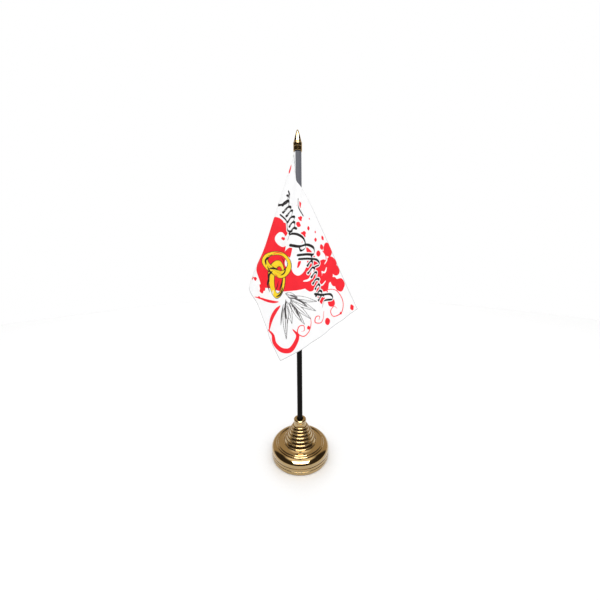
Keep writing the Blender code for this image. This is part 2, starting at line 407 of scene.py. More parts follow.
def fold_directions(count=721):
    """Angles and directions of the cloth's straight lines, from the hoist to the top edge."""
    step = math.radians(90.0) / (count - 1)
    u = np.array([0.0, 0.0, -1.0])
    t = np.array([math.cos(HEADING), math.sin(HEADING), 0.0])
    found = [u.copy()]
    for i in range(1, count):
        at = math.degrees((i - 0.5) * step)
        bend = BENDS[0]
        for before, after, stop in zip(BENDS, BENDS[1:], STOPS):
            bend += (after - before) / (1.0 + math.exp(-(at - stop) / BEND_EASE))
        moved = t + step * (-u - bend * np.cross(u, t))
        moved /= np.linalg.norm(moved)
        u = u + step * (t + moved) / 2.0
        u /= np.linalg.norm(u)
        t = moved - u * (moved @ u)
        t /= np.linalg.norm(t)
        found.append(u.copy())
    return np.linspace(90.0, 0.0, count), np.array(found)


def panel_points(s, t):
    """Where the point s mm along the fly and t mm down the hoist hangs, in mm."""
    angles, directions = fold_directions()
    r = np.hypot(s, t)
    phi = np.degrees(np.arctan2(t, s))
    final = np.stack([np.interp(-phi, -angles, directions[:, k]) for k in range(3)], -1)
    g = smooth(54.0, 10.0, phi)[..., None]
    first = final * (1.0 - g) + np.array([0.0, 0.0, -1.0]) * g
    place = np.zeros(final.shape)
    for i in range(DROP_PARTS):
        m = smooth(DROP - DROP_EASE, DROP + DROP_EASE, (i + 0.5) / DROP_PARTS * r)[..., None]
        d = first * (1.0 - m) + final * m
        d /= np.linalg.norm(d, axis=-1, keepdims=True)
        place += d * (r / DROP_PARTS)[..., None]
    f = smooth(75.0, 25.0, phi) * smooth(0.0, 12.0, r)
    hoist = (SLEEVE_R * math.cos(LEAVES_AT), SLEEVE_R * math.sin(LEAVES_AT))
    place[..., 0] += hoist[0] + (FRONT[0] - hoist[0]) * f
    place[..., 1] += hoist[1] + (FRONT[1] - hoist[1]) * f
    swing = smooth(23.0, 31.5, r) * smooth(38.0, 8.0, phi)
    place[..., 0] += SWING * swing * (1.0 - 0.64 * smooth(70.0, FLY, r))
    foot = smooth(75.0, 125.0, r) * smooth(34.0, 50.0, phi) * smooth(80.0, 58.0, phi)
    place[..., 2] += FOOT_LIFT * foot
    corner = smooth(38.0, 0.0, phi) * np.clip(r / FLY, 0.0, 1.0)
    place += corner[..., None] * np.array(CORNER_LEAN)
    place[..., 2] += FLAG_TOP
    return place


corners = panel_points(np.array([0.0, FLY, FLY, 0.0]), np.array([0.0, 0.0, HOIST, HOIST]))
print("corners in mm:", np.round(corners, 1).tolist())

# %% [markdown]
# The sheet is a grid of quads. Its first columns wrap the pole as the sleeve, and the others are the panel.
# Each point keeps where it was on the flat cloth, in mm, because the print and the weave follow the
# cloth and not the room.

# %% The sheet
PITCH = 2.5
# The sleeve goes most of the way round the pole, in 14 steps, to where the panel leaves it
wrap = np.radians(np.linspace(510.0, 201.0, 15))[:-1]
wrap_s = -SLEEVE_R * (wrap - LEAVES_AT)
panel_s = np.linspace(0.0, FLY, int(FLY / PITCH) + 1)
rows_t = np.linspace(0.0, HOIST, int(HOIST / PITCH) + 1)
flat_s = np.concatenate([wrap_s, panel_s])
across, down = len(flat_s), len(rows_t)
grid_t, grid_s = np.meshgrid(rows_t, flat_s, indexing="ij")
start = np.zeros((down, across, 3))
start[:, : len(wrap), 0] = SLEEVE_R * np.cos(wrap)
start[:, : len(wrap), 1] = SLEEVE_R * np.sin(wrap)
start[:, : len(wrap), 2] = FLAG_TOP - grid_t[:, : len(wrap)]
start[:, len(wrap) :] = panel_points(grid_s[:, len(wrap) :], grid_t[:, len(wrap) :])
quads = [
    (i * across + j, i * across + j + 1, (i + 1) * across + j + 1, (i + 1) * across + j)
    for i in range(down - 1)
    for j in range(across - 1)
]
print("sheet:", across, "x", down, "points, sleeve", round(-wrap_s[0], 1), "mm round")

# %% [markdown]
# ## Settling the cloth
# The start shape is a rule, and real cloth is not so even. So the sheet is given to the cloth solver, which
# knows its flat cut as its rest shape, holds the sleeve still, and lets the panel sag and buckle for a few
# frames under its weight. The solver is steadier with metre-sized cloth, so the sheet is settled ten times
# too big and scaled back. How far a point may move from the start shape is limited, to keep the drape.

# %% Cloth settling
BIG = 10.0
FRAMES = 24
MOST_MOVED = 3.5
OFF_SLEEVE = 0.45
# How firmly a point is held to the start shape: the sleeve wholly, the panel hardly
HELD_SLEEVE, HELD_PANEL = 1.0, 0.06


def settled(points, frames):
    """The sheet's points, in mm, after some frames of cloth simulation."""
    scale = MM * BIG
    mesh = bpy.data.meshes.new("settling")
    mesh.from_pydata((points.reshape(-1, 3) * scale).tolist(), [], quads)
    o = bpy.data.objects.new("settling", mesh)
    bpy.context.scene.collection.objects.link(o)
    o.shape_key_add(name="hung")
    cut = o.shape_key_add(name="cut")
    flat = np.stack([grid_s, np.zeros(grid_s.shape), -grid_t], -1).reshape(-1, 3) * scale
    cut.data.foreach_set("co", flat.ravel())
    held = o.vertex_groups.new(name="held")
    weight = np.where(grid_s <= 0.1, HELD_SLEEVE, HELD_PANEL).ravel()
    for i, w in enumerate(weight):
        held.add([i], float(w), "REPLACE")
    cloth = o.modifiers.new("cloth", "CLOTH")
    s = cloth.settings
    s.quality = 10
    s.mass = 0.1
    s.air_damping = 4.0
    s.tension_stiffness = s.compression_stiffness = 40.0
    s.shear_stiffness = 15.0
    s.bending_stiffness = 0.6
    s.tension_damping = s.compression_damping = 10.0
    s.shear_damping = 8.0
    s.bending_damping = 1.0
    s.vertex_group_mass = "held"
    s.pin_stiffness = 1.0
    s.rest_shape_key = cut
    s.time_scale = 0.6
    cloth.collision_settings.use_collision = False
    cloth.point_cache.frame_start, cloth.point_cache.frame_end = 1, frames
    scene = bpy.context.scene
    for f in range(1, frames + 1):
        scene.frame_set(f)
    shape = o.evaluated_get(bpy.context.evaluated_depsgraph_get()).data
    found = np.empty(len(shape.vertices) * 3, np.float32)
    shape.vertices.foreach_get("co", found)
    scene.frame_set(1)
    bpy.data.objects.remove(o, do_unlink=True)
    return found.reshape(points.shape).astype(float) / scale


def kept_off_pole(points, clear):
    """Moves any panel point that is nearer to the pole's axis than this many mm straight out."""
    panel = points[:, len(wrap) + 1 :]
    away = np.hypot(panel[..., 0], panel[..., 1])
    push = np.where(away < clear, clear / np.maximum(away, 0.01), 1.0)
    panel[..., :2] *= push[..., None]
    return points


hung = start.copy()
after = settled(start, FRAMES)
moved = after - start
size = np.linalg.norm(moved, axis=-1, keepdims=True)
hung = start + moved * np.minimum(1.0, MOST_MOVED / np.maximum(size, 1e-6))
hung[:, : len(wrap) + 1] = start[:, : len(wrap) + 1]
print("settled by up to", round(float(size.max()), 2), "mm, mean", round(float(size.mean()), 2))
hung = kept_off_pole(hung, SLEEVE_R + OFF_SLEEVE)

# %% [markdown]
# ## The print's motifs
# The print is a generic wedding design: a heart, two rings, pen flourishes, splashes and a leaf spray. Each
# ink is kept on the sheet as a distance, in mm, to the nearest edge of that ink, negative inside it. The
# material turns it into colour, so an edge stays crisp at any size. Curves are drawn as strokes: lines
# through a few points, with a width that changes as a pen's does.

# %% Motif helpers
# In mm: farther than any ink on the cloth
FAR = 1e3


def along(points, count=24):
    """A smooth line through points: (x, y) in mm on the flat cloth."""
    p = np.array(points, float)
    p = np.vstack([2 * p[0] - p[1], p, 2 * p[-1] - p[-2]])
    found = []
    for a, b, c, d in zip(p, p[1:], p[2:], p[3:]):
        for u in np.linspace(0.0, 1.0, count, endpoint=False):
            square, cube = 2 * a - 5 * b + 4 * c - d, 3 * b - a - 3 * c + d
            found.append(0.5 * (2 * b + (c - a) * u + square * u**2 + cube * u**3))
    found.append(p[-2])
    return np.array(found)


def to_line(x, y, line, widths):
    """The distance from each (x, y) to a line's edge, where widths are its half widths at its points."""
    best = np.full(x.shape, FAR)
    for (ax, ay), (bx, by), wa, wb in zip(line, line[1:], widths, widths[1:]):
        dx, dy = bx - ax, by - ay
        u = np.clip(((x - ax) * dx + (y - ay) * dy) / max(dx * dx + dy * dy, 1e-9), 0.0, 1.0)
        best = np.minimum(best, np.hypot(x - ax - u * dx, y - ay - u * dy) - (wa + (wb - wa) * u))
    return best


def stroke(x, y, points, width, ends=0.15, count=10):
    """A tapered stroke: full width in its middle and ends times that at its ends."""
    line = along(points, count)
    u = np.linspace(0.0, 1.0, len(line))
    return to_line(x, y, line, 0.5 * width * (ends + (1.0 - ends) * np.sin(math.pi * u) ** 0.7))


def pen(x, y, line, thin, thick, nib=0.9):
    """A line drawn by a broad nib: thick where it runs across the nib's angle, and thin along it."""
    way = np.gradient(line, axis=0)
    turn = np.arctan2(way[:, 1], way[:, 0])
    return to_line(x, y, line, 0.5 * (thin + (thick - thin) * np.sin(turn - nib) ** 2))


def inside(x, y, outline):
    """The signed distance to a closed outline."""
    ring = np.vstack([outline, outline[:1]])
    away = to_line(x, y, ring, np.zeros(len(ring)))
    odd = np.zeros(x.shape, bool)
    for (ax, ay), (bx, by) in zip(ring, ring[1:]):
        crosses = (ay > y) != (by > y)
        at = (bx - ax) * (y - ay) / (by - ay if by != ay else 1e-9) + ax
        odd ^= crosses & (x < at)
    return np.where(odd, -away, away)


def heart_outline(x, y, width, height, turn):
    """A plain heart about (x, y), its point down the cloth before it is turned, in degrees."""
    a = np.linspace(0.0, math.tau, 72, endpoint=False)
    px = np.sin(a) ** 3
    py = -(13 * np.cos(a) - 5 * np.cos(2 * a) - 2 * np.cos(3 * a) - np.cos(4 * a)) / 16.0
    px, py = px * width / 2, py * height / 1.8
    c, s = math.cos(math.radians(turn)), math.sin(math.radians(turn))
    return np.stack([x + px * c - py * s, y + px * s + py * c], 1)


def blob(x, y, cx, cy, r, wobble=0.12, lobes=5, seed=0.0):
    """A splash: a round drop with an uneven edge."""
    a = np.arctan2(y - cy, x - cx)
    edge = r * (1.0 + wobble * np.sin(lobes * a + seed) + 0.6 * wobble * np.sin((lobes + 2) * a + 2.1 * seed))
    return np.hypot(x - cx, y - cy) - edge


print("a heart of", len(heart_outline(0, 0, 10, 10, 0)), "points")

# %% [markdown]
# The sheet is divided finely before the motifs are measured on it, so that each ink's edge is followed to a
# fraction of a millimetre.

# %% Fine sheet
def subdivided(points, s, t, times):
    """Catmull-Clark subdivision of the sheet: (mesh object, its flat s, its flat t)."""
    mesh = bpy.data.meshes.new("flag_cloth")
    mesh.from_pydata((points.reshape(-1, 3) * MM).tolist(), [], quads)
    flat = mesh.attributes.new("cut_mm", "FLOAT_VECTOR", "POINT")
    flat.data.foreach_set("vector", np.stack([s, t, np.zeros(s.shape)], -1).astype(np.float32).ravel())
    o = bpy.data.objects.new("flag_cloth", mesh)
    bpy.context.scene.collection.objects.link(o)
    sub = o.modifiers.new("fine", "SUBSURF")
    sub.levels = sub.render_levels = times
    sub.boundary_smooth = "PRESERVE_CORNERS"
    finish_mesh(o, 180.0)
    values = np.empty(len(o.data.vertices) * 3, np.float32)
    o.data.attributes["cut_mm"].data.foreach_get("vector", values)
    values = values.reshape(-1, 3).astype(float)
    return o, values[:, 0], values[:, 1]


flag, X, Y = subdivided(hung, grid_s, grid_t, 2)
print("fine sheet:", len(flag.data.vertices), "points, flat", round(X.max(), 1), "x", round(Y.max(), 1), "mm")

# %% [markdown]
# ### Red
# A large heart fills the middle, cut by white curls. Splashes run along the top edge and thin out into drops,
# and a second heart is only a brush outline. Each drop is its centre, radius, wobble, lobes and seed; each
# stroke is its points and its width, all in mm on the flat cloth.

# %% Red motifs
red = inside(X, Y, heart_outline(70.0, 58.0, 84.0, 62.0, -30.0))
drops = (
    (84.0, 4.5, 6.2, 0.05, 2, 0.3), (97.5, 8.0, 7.6, 0.05, 3, 1.1), (104.0, 5.5, 5.4, 0.05, 2, 2.3),
    (94.0, 17.5, 5.4, 0.06, 3, 0.7), (96.5, 27.0, 6.4, 0.05, 3, 1.9), (104.5, 17.0, 6.6, 0.06, 2, 0.2),
    (109.0, 25.0, 7.2, 0.05, 3, 1.4), (113.0, 12.5, 4.4, 0.06, 2, 2.2), (118.5, 7.5, 6.4, 0.05, 3, 0.4),
    (42.0, 47.0, 9.8, 0.05, 2, 1.2), (47.0, 40.5, 5.6, 0.05, 2, 0.2), (100.0, 38.5, 8.0, 0.05, 3, 0.1),
    (114.0, 33.5, 4.6, 0.05, 2, 0.5),
    (88.5, 25.0, 3.4, 0.06, 3, 1.0), (82.5, 17.5, 2.6, 0.05, 2, 0.0), (79.0, 11.0, 2.3, 0.08, 2, 0.6),
    (75.0, 20.5, 2.0, 0.1, 2, 0.4), (60.5, 25.5, 2.6, 0.16, 3, 1.2), (66.5, 28.5, 2.4, 0.14, 2, 0.1),
    (37.0, 18.5, 2.5, 0.2, 2, 0.5), (47.5, 22.5, 2.0, 0.2, 3, 1.0), (51.0, 26.5, 2.2, 0.14, 2, 2.0),
    (58.5, 17.6, 1.7, 0.1, 2, 0.0), (64.6, 11.2, 1.0, 0.1, 2, 0.0), (72.5, 5.0, 1.9, 0.1, 2, 0.8),
    (70.5, 14.5, 1.6, 0.1, 2, 0.0), (128.7, 24.5, 4.2, 0.05, 2, 1.7), (121.5, 33.0, 3.8, 0.06, 3, 0.9),
    (142.1, 37.5, 3.3, 0.05, 2, 0.2), (145.2, 5.5, 2.6, 0.14, 2, 0.6), (143.0, 20.3, 1.3, 0.05, 2, 0.0),
    (135.9, 58.8, 1.7, 0.05, 2, 0.0), (78.2, 88.9, 1.8, 0.15, 3, 0.3), (87.0, 87.0, 2.7, 0.1, 2, 1.3),
    (89.5, 89.5, 1.9, 0.1, 2, 0.4), (76.0, 92.0, 1.6, 0.1, 2, 0.0), (62.0, 84.0, 1.0, 0.1, 2, 0.0),
    (94.0, 95.0, 1.2, 0.1, 2, 0.0), (52.0, 12.0, 0.8, 0.1, 2, 0.0),
)
for drop in drops:
    red = np.minimum(red, blob(X, Y, *drop))
for points, width in (
    ([(92.0, 99.0), (97.0, 90.0), (99.5, 82.0), (101.0, 74.0)], 2.4),
    ([(104.5, 74.5), (107.5, 82.0), (113.0, 90.5), (121.5, 98.0)], 3.6),
    (
        [
            (120.5, 98.6), (125.5, 94.8), (133.0, 96.8), (141.0, 93.5), (145.0, 86.0), (141.5, 77.5),
            (136.2, 72.2), (129.0, 73.9),
        ],
        4.8,
    ),
    ([(6.0, 8.0), (8.6, 11.0), (11.0, 13.2)], 1.8),
    ([(82.0, 12.0), (88.0, 10.0), (96.0, 14.0)], 1.8),
    ([(112.0, 22.0), (118.0, 24.0), (124.0, 21.0)], 1.4),
):
    red = np.minimum(red, stroke(X, Y, points, width))
white = np.full(X.shape, FAR)
for points, width in (
    ([(44.0, 33.0), (51.0, 35.5), (57.0, 40.5), (57.0, 47.0), (51.5, 49.0), (49.0, 45.0), (52.0, 43.0)], 5.6),
    ([(57.0, 33.0), (65.0, 36.0), (72.5, 41.0), (77.0, 46.5), (75.0, 50.0), (71.0, 48.0)], 8.4),
    ([(66.0, 29.0), (76.0, 33.0), (84.0, 38.5), (86.5, 45.0), (82.0, 47.0), (79.5, 43.5)], 6.4),
    ([(84.0, 27.0), (92.0, 31.0), (97.5, 38.0), (96.0, 44.5)], 2.4),
    ([(97.5, 14.5), (100.5, 18.5), (98.5, 22.0)], 1.6),
    ([(108.0, 21.0), (109.5, 26.5), (107.0, 30.0)], 1.4),
    ([(88.0, 9.5), (91.5, 11.0), (94.0, 15.5)], 1.2),
):
    white = np.minimum(white, stroke(X, Y, points, width, 0.3))
red = np.maximum(red, -white)
curls = (
    [
        (110.0, 33.0), (114.0, 27.5), (121.0, 14.5), (133.5, 12.0), (142.5, 18.5), (142.0, 28.5),
        (136.0, 29.5), (133.5, 24.0), (137.0, 21.5),
    ],
    [(131.5, 36.0), (136.5, 40.5), (138.5, 46.0), (135.0, 50.5), (131.0, 47.5), (132.5, 44.0), (135.0, 46.0)],
    [
        (129.0, 52.5), (134.5, 55.0), (139.5, 60.5), (140.0, 67.5), (134.5, 71.0), (129.8, 67.0),
        (131.5, 62.5), (135.5, 63.8), (135.0, 67.0),
    ],
)
for points in curls:
    red = np.minimum(red, stroke(X, Y, points, 1.0, 0.5, 8))
print("drops:", len(drops), "thin curls:", len(curls))
print("red covers", round(100 * float((red < 0).mean())), "% of the sheet")

# %% [markdown]
# ### Gold rings and black pen
# Two linked rings are drawn as they look from the side, each as the yellow space between two ovals, with
# black outlines and a few shading strokes. The pen flourishes are rows of waves and hooks that form no
# letters, drawn with a broad nib.

# %% Rings
def oval(cx, cy, a, b, turn):
    """The signed distance to an ellipse's outline, negative inside it."""
    c, s = math.cos(math.radians(turn)), math.sin(math.radians(turn))
    u, v = (X - cx) * c + (Y - cy) * s, -(X - cx) * s + (Y - cy) * c
    k = np.hypot(u / a, v / b)
    slope = np.hypot(u / a**2, v / b**2) / np.maximum(k, 1e-6)
    return (k - 1.0) / np.maximum(slope, 1e-6)


# A ring is the space between two ellipses, the inner one set towards the far side
upper = np.maximum(oval(71.0, 60.5, 14.4, 12.0, -49.0), -oval(69.8, 58.9, 9.8, 7.0, -49.0))
lower = np.maximum(oval(82.5, 67.5, 17.4, 9.2, 33.0), -oval(83.6, 66.2, 12.2, 4.9, 33.0))
yellow = np.minimum(upper, lower)
# White glints, where no yellow is printed
for points in (
    [(60.2, 60.5), (61.2, 55.5), (65.0, 51.2)],
    [(77.5, 69.0), (81.5, 65.5)],
    [(71.5, 63.5), (74.5, 61.2), (78.5, 61.0)],
    [(90.5, 76.5), (94.5, 79.5)],
    [(72.0, 50.2), (76.5, 51.0)],
):
    yellow = np.maximum(yellow, -stroke(X, Y, points, 0.9))
OUTLINE = 0.34
ink = np.minimum(np.abs(upper) - OUTLINE, np.where(upper > 0.2, np.abs(lower) - OUTLINE, FAR))
inner_line = np.abs(oval(70.3, 59.6, 11.2, 8.6, -49.0)) - 0.2
ink = np.minimum(ink, np.where((upper < 0) & (Y > 60.0), inner_line, FAR))
for points, width in (
    ([(61.5, 63.0), (63.5, 68.5), (68.5, 71.5)], 1.5),
    ([(76.5, 53.0), (80.5, 57.0), (81.0, 62.5)], 1.3),
    ([(66.0, 54.5), (70.5, 53.0), (75.0, 54.5)], 0.8),
    ([(91.0, 64.0), (95.5, 69.5), (96.5, 76.0)], 1.4),
    ([(75.0, 69.0), (78.0, 74.5), (84.0, 78.0)], 1.6),
    ([(84.5, 66.5), (89.0, 70.5), (91.5, 75.0)], 0.9),
    ([(76.0, 62.5), (73.0, 66.5), (72.5, 71.0)], 1.8),
    ([(84.0, 60.5), (87.5, 63.5), (92.0, 69.0)], 1.3),
    ([(69.0, 70.8), (74.5, 71.5), (79.5, 69.5)], 1.2),
    ([(79.5, 75.5), (85.5, 80.5), (92.0, 82.0)], 1.3),
):
    ink = np.minimum(ink, stroke(X, Y, points, width))
print("yellow covers", round(100 * float((yellow < 0).mean()), 1), "%")

# %% Pen flourishes
def waves(x0, x1, y0, y1, height, count, lean):
    """A row of leaning pen waves from (x0, y0) to (x1, y1) on the cloth."""
    u = np.linspace(0.0, 1.0, 46 * count)
    a = math.tau * count * u
    swell = 0.74 + 0.26 * np.sin(0.37 * a + 1.3) * np.sin(1.13 * a + 0.4)
    px = x0 + (x1 - x0) * u + 0.15 * height * np.sin(a) - lean * height * 0.5 * np.cos(a) * swell
    py = y0 + (y1 - y0) * u - height * 0.5 * np.cos(a) * swell
    return np.stack([px, py], 1)


pen_lines = [
    (waves(26.0, 54.0, 27.5, 33.0, 9.5, 6, 0.3), 0.45, 2.2),
    (waves(82.0, 121.0, 31.0, 34.0, 11.0, 7, 0.3), 0.45, 2.3),
]
for points, thin, thick in (
    ([(22.0, 21.0), (26.0, 22.5), (29.5, 27.0), (27.5, 33.5), (23.5, 33.0)], 0.4, 2.2),
    ([(32.0, 17.0), (39.0, 20.0), (47.0, 18.5)], 0.35, 1.3),
    ([(35.0, 36.5), (42.0, 35.0), (49.5, 37.5), (53.0, 34.5)], 0.35, 1.5),
    (
        [(57.5, 41.5), (54.5, 37.0), (57.5, 31.5), (64.0, 27.5), (71.0, 29.0), (71.5, 34.5), (67.0, 34.5)],
        0.4,
        2.2,
    ),
    (
        [(62.5, 41.0), (67.5, 34.5), (70.0, 26.5), (75.5, 20.5), (80.5, 23.0), (77.0, 31.0), (73.5, 39.0)],
        0.4,
        2.6,
    ),
    ([(77.0, 39.5), (81.5, 30.5), (86.5, 22.0), (91.5, 21.0), (91.0, 27.0)], 0.4, 2.2),
    ([(112.0, 39.0), (117.0, 31.5), (121.5, 22.0), (126.5, 22.0), (123.5, 31.0), (128.0, 36.5)], 0.4, 2.3),
):
    pen_lines.append((along(points, 12), thin, thick))

HALO = 0.75
written = np.full(X.shape, FAR)
for line, thin, thick in pen_lines:
    written = np.minimum(written, pen(X, Y, line, thin, thick))
# Each pen line keeps a narrow white border where it crosses the red
red = np.maximum(red, HALO - written)
ink = np.minimum(ink, written)
print("ink covers", round(100 * float((ink < 0).mean()), 1), "%")

# %% [markdown]
# ### Grey leaf spray
# Between the two hearts lies a spray of narrow leaves: white inside, with fine grey outlines and veins.

# %% Leaf spray
def leaf(x0, y0, x1, y1, width):
    """A pointed leaf's outline from its foot to its tip."""
    u = np.linspace(0.0, 1.0, 18)
    half = width * np.sin(math.pi * u**0.8) * 0.5
    dx, dy = x1 - x0, y1 - y0
    long = math.hypot(dx, dy)
    nx, ny = -dy / long, dx / long
    side = np.stack([x0 + dx * u + nx * half, y0 + dy * u + ny * half], 1)
    other = np.stack([x0 + dx * u - nx * half, y0 + dy * u - ny * half], 1)
    return np.vstack([side, other[::-1][1:-1]])


leaves = [
    (101.0, 64.0, 119.0, 40.0, 5.0), (103.0, 63.0, 126.0, 45.0, 5.0), (105.0, 63.5, 130.0, 53.0, 4.6),
    (106.0, 65.0, 131.0, 61.0, 4.4), (104.0, 67.0, 124.0, 72.0, 5.2), (106.0, 69.0, 127.0, 81.0, 5.0),
    (108.0, 72.0, 134.0, 84.0, 4.0), (97.0, 64.5, 106.0, 56.0, 4.2),
]
grey = np.full(X.shape, FAR)
veil = np.full(X.shape, FAR)
for spec in leaves:
    edge = inside(X, Y, leaf(*spec))
    veil = np.minimum(veil, edge)
    grey = np.minimum(np.maximum(grey, -edge - 0.1), np.abs(edge) - 0.3)
    x0, y0, x1, y1, width = spec
    dx, dy = x1 - x0, y1 - y0
    vein = [(x0, y0), (x0 + 0.5 * dx + 0.6, y0 + 0.5 * dy), (x0 + 0.85 * dx, y0 + 0.85 * dy)]
    grey = np.minimum(grey, stroke(X, Y, vein, 0.7))
for points, width in (
    ([(101.5, 66.5), (109.0, 71.5), (118.0, 75.5)], 1.5),
    ([(104.0, 70.5), (112.0, 77.0), (121.0, 83.0)], 1.1),
    ([(103.0, 61.0), (111.0, 54.5), (119.0, 50.5)], 1.2),
    ([(107.0, 64.5), (116.0, 62.0), (125.0, 62.5)], 1.3),
    ([(99.0, 63.5), (102.5, 59.0), (107.0, 56.0)], 1.0),
):
    grey = np.minimum(grey, stroke(X, Y, points, width))
red = np.maximum(red, -veil)
print("leaves:", len(leaves))

# %% Keep the inks on the sheet
def keep(name, values):
    """Stores one number for each point of the sheet, for the material to read."""
    layer = flag.data.attributes.new(name, "FLOAT", "POINT")
    layer.data.foreach_set("value", values.astype(np.float32))


# Distances to an ink are kept up to this many mm, and the sleeve, which isn't printed, has it everywhere
MOST_KEPT = 9.0
for name, values in (("ink_red", red), ("ink_yellow", yellow), ("ink_black", ink), ("ink_grey", grey)):
    keep(name, np.where(X < -0.5, MOST_KEPT, np.clip(values, -MOST_KEPT, MOST_KEPT)))
keep("to_edge", np.minimum(FLY - X, np.minimum(Y, HOIST - Y)))
# Where the sleeve is, which the cloth material paints flat grey as painted shade of the pole seen through it
keep("sleeve", smooth(-1.2, -2.2, X))
uv = flag.data.uv_layers.new(name="cut")
corner = np.empty(len(flag.data.loops), np.int32)
flag.data.loops.foreach_get("vertex_index", corner)
uv.data.foreach_set("uv", np.stack([X[corner] / FLY, 1.0 - Y[corner] / HOIST], 1).astype(np.float32).ravel())
print("attributes:", [a.name for a in flag.data.attributes if a.name.startswith("ink")])

# %% [markdown]
# ## Cloth: polyester satin, printed
# The flag is woven polyester satin, so thin that light comes through. Screen inks soak into one face and show
# paler on the other. Over the black pole the sleeve looks grey, because the pole's black comes through the
# white threads; that grey is painted shade, a flat colour on the sleeve, not light passing through the cloth.
# A real thread is about 0.1 mm; it is drawn here at 0.5 mm so that the weave can show at all.

# %% Cloth material
INKS = (
    ("ink_red", "#fd2634", "#ea202e"),
    ("ink_grey", "#2e2a2b", "#5a5556"),
    ("ink_yellow", "#ffe232", "#f2c81e"),
    ("ink_black", "#1c1819", "#2c2627"),
)


def printed_satin(name, strength):
    """strength is how much of the ink shows: 1 on the printed face, less on the other."""
    material, tree, shader = new_material(name)
    kept = {}
    for layer in ("to_edge", "sleeve", *(ink[0] for ink in INKS)):
        kept[layer] = add(tree, "ShaderNodeAttribute", attribute_name=layer).outputs["Fac"]
    cut = add(tree, "ShaderNodeAttribute", attribute_name="cut_mm").outputs["Vector"]
    fray = add(tree, "ShaderNodeTexNoise", {"Vector": cut, "Scale": 1.1, "Detail": 3.0}).outputs["Fac"]
    soak = add(tree, "ShaderNodeTexNoise", {"Vector": cut, "Scale": 0.12, "Detail": 2.0}).outputs["Fac"]
    # The edges are cut with a hot knife: a fine melted line, a little greyer than the cloth
    melted = add(tree, "ShaderNodeMapRange", {"Value": kept["to_edge"], "From Min": 0.75, "From Max": 0.3})
    # Each layer is where it shows and its two tones, and it covers the ones before it
    layers = [(melted.outputs["Result"], "#b9b9ba", "#b9b9ba")]
    # The thread's roughness moves an ink's edge by up to 0.15 mm
    uneven = add(tree, "ShaderNodeMath", {0: fray, 1: 0.3, 2: -0.15}, operation="MULTIPLY_ADD").outputs[0]
    for ink, bright, deep in INKS:
        edge = add(tree, "ShaderNodeMath", {0: kept[ink], 1: uneven}, operation="ADD").outputs[0]
        shows = add(
            tree,
            "ShaderNodeMapRange",
            {"Value": edge, "From Min": 0.14, "From Max": -0.14, "To Min": 0.0, "To Max": strength},
        )
        layers.append((shows.outputs["Result"], bright, deep))
    # The sleeve's flat grey is painted shade: the black pole seen through the thin white cloth
    layers.append((kept["sleeve"], "#63646b", "#63646b"))
    colour = add(
        tree,
        "ShaderNodeMix",
        {FACTOR: soak, COLOUR_A: linear("#f3f3f4"), COLOUR_B: linear("#fafafa")},
        data_type="RGBA",
    ).outputs[MIXED]
    for shows, bright, deep in layers:
        tone = linear(bright)
        if deep != bright:
            tones = {FACTOR: soak, COLOUR_A: linear(bright), COLOUR_B: linear(deep)}
            tone = add(tree, "ShaderNodeMix", tones, data_type="RGBA").outputs[MIXED]
        covered = {FACTOR: shows, COLOUR_A: colour, COLOUR_B: tone}
        colour = add(tree, "ShaderNodeMix", covered, data_type="RGBA").outputs[MIXED]
    # Warp and weft, two threads to the millimetre, as two crossed waves
    threads = {"Vector": cut, "Scale": 0.62, "Distortion": 0.4}
    warp = add(tree, "ShaderNodeTexWave", threads, bands_direction="X").outputs["Fac"]
    weft = add(tree, "ShaderNodeTexWave", threads, bands_direction="Y").outputs["Fac"]
    weave = add(tree, "ShaderNodeMath", {0: warp, 1: weft}, operation="MULTIPLY").outputs[0]
    bump = add(tree, "ShaderNodeBump", {"Height": weave, "Strength": 0.25, "Distance": 0.0001})
    shade = add(tree, "ShaderNodeMapRange", {"Value": weave, "To Min": 0.94, "To Max": 1.0})
    tint = add(
        tree,
        "ShaderNodeMix",
        {FACTOR: 1.0, COLOUR_A: colour, COLOUR_B: shade.outputs["Result"]},
        data_type="RGBA",
        blend_type="MULTIPLY",
    )
    rough = add(tree, "ShaderNodeMapRange", {"Value": weave, "To Min": 0.62, "To Max": 0.48})
    set_inputs(
        tree,
        shader,
        {
            "Base Color": tint.outputs[MIXED],
            "Roughness": rough.outputs["Result"],
            "Normal": bump.outputs["Normal"],
            "Specular IOR Level": 0.12,
            "Sheen Weight": 0.04,
            "Sheen Roughness": 0.4,
        },
    )
    return material


flag.data.materials.append(printed_satin("polyester_satin_reverse", 0.5))
flag.data.materials.append(printed_satin("polyester_satin_printed", 1.0))
thickness = flag.modifiers.new("cloth", "SOLIDIFY")
thickness.thickness = CLOTH * MM
thickness.offset = 0.0
thickness.material_offset = 1
thickness.material_offset_rim = 0
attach(flag, "flag")
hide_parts("flag")
print("flag cut:", round(FLY - wrap_s[0], 1), "x", HOIST, "mm")

# %% [markdown]
# ## The sleeve's stitches
# A row of lockstitches holds the sleeve shut beside the pole. Each stitch is a short bead of spun polyester
# thread, 2.2 mm long with a small gap, on both faces of the cloth.

# %% Stitches
thread, tree, shader = new_material("spun_polyester_thread")
place = add(tree, "ShaderNodeTexCoord").outputs["Object"]
# Plies about 0.35 mm apart
plies = {"Vector": place, "Scale": 900.0, "Distortion": 1.0}
ply = add(tree, "ShaderNodeTexWave", plies, bands_direction="DIAGONAL").outputs["Fac"]
tones = {FACTOR: ply, COLOUR_A: linear("#d9d8d6"), COLOUR_B: linear("#f6f5f3")}
tone = add(tree, "ShaderNodeMix", tones, data_type="RGBA")
bump = add(tree, "ShaderNodeBump", {"Height": ply, "Strength": 0.4, "Distance": 0.0001})
set_inputs(
    tree,
    shader,
    {"Base Color": tone.outputs[MIXED], "Normal": bump.outputs["Normal"], "Roughness": 0.7},
)

STITCH, STITCH_GAP, THREAD_R = 2.2, 0.5, 0.13
